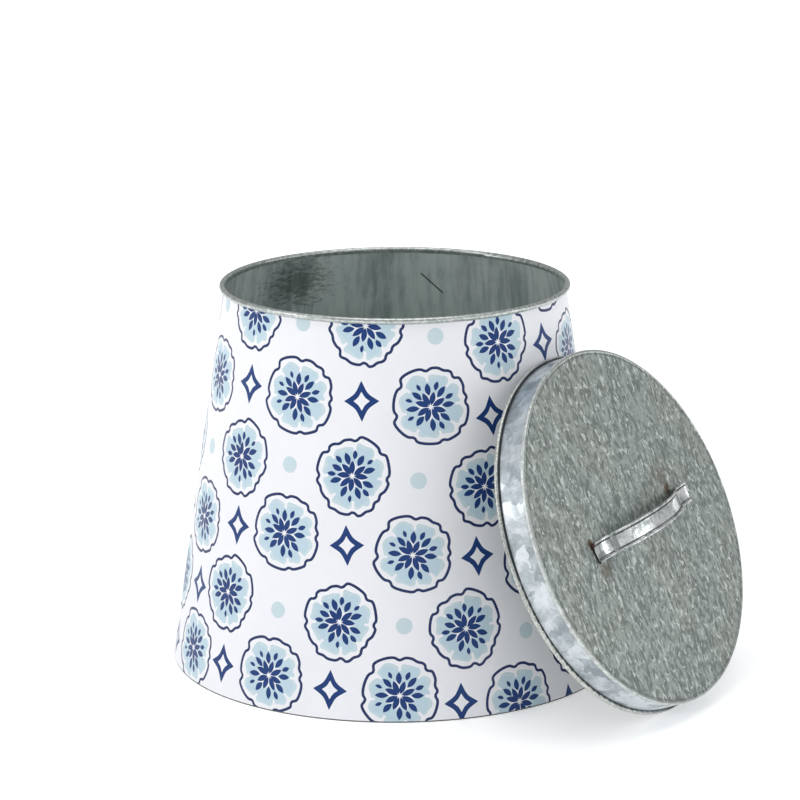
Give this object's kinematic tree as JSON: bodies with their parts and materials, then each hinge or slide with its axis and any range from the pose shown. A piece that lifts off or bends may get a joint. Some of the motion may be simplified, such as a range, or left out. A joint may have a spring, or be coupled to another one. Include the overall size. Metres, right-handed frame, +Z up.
{
  "type": "lidded storage canister",
  "caption": "Tapered sheet-metal canister with a rolled rim and a printed floral wrap, and a lift-off galvanised lid with a strap handle leaning against its side.",
  "frame": {"origin": "centre of the canister's foot, on the floor", "axes": "+Z up along the canister's axis; +X towards the leaning lid; +Y across, by the right-hand rule"},
  "size_m": [0.3375, 0.2632, 0.2223],
  "materials": {
    "galvanised_body": "dull galvanised sheet, brushed by rolling",
    "galvanised_lid": "matt galvanised sheet with long pale spangles",
    "galvanised_band": "smooth galvanised sheet with faint spangles",
    "bright_strap": "bright zinc, stained at the welds",
    "steel_wire": "plain drawn wire, out of sight",
    "printed_film": "satin white print film with a navy and pale blue floral pattern"
  },
  "bodies": {
    "tin": {"tin_wall": "galvanised_body", "rim_wire": "steel_wire", "base_pan": "galvanised_body", "printed_wrap": "printed_film"},
    "lid": {"lid_panel": "galvanised_lid", "lid_band": "galvanised_band", "lid_wire": "steel_wire", "handle_strap": "bright_strap"}
  },
  "joints": [
    {"name": "lid_lift", "type": "slide", "parent": "tin", "child": "lid", "axis": [0.9114, 0, 0.4115], "range_m": [0, 0.15]}
  ]
}
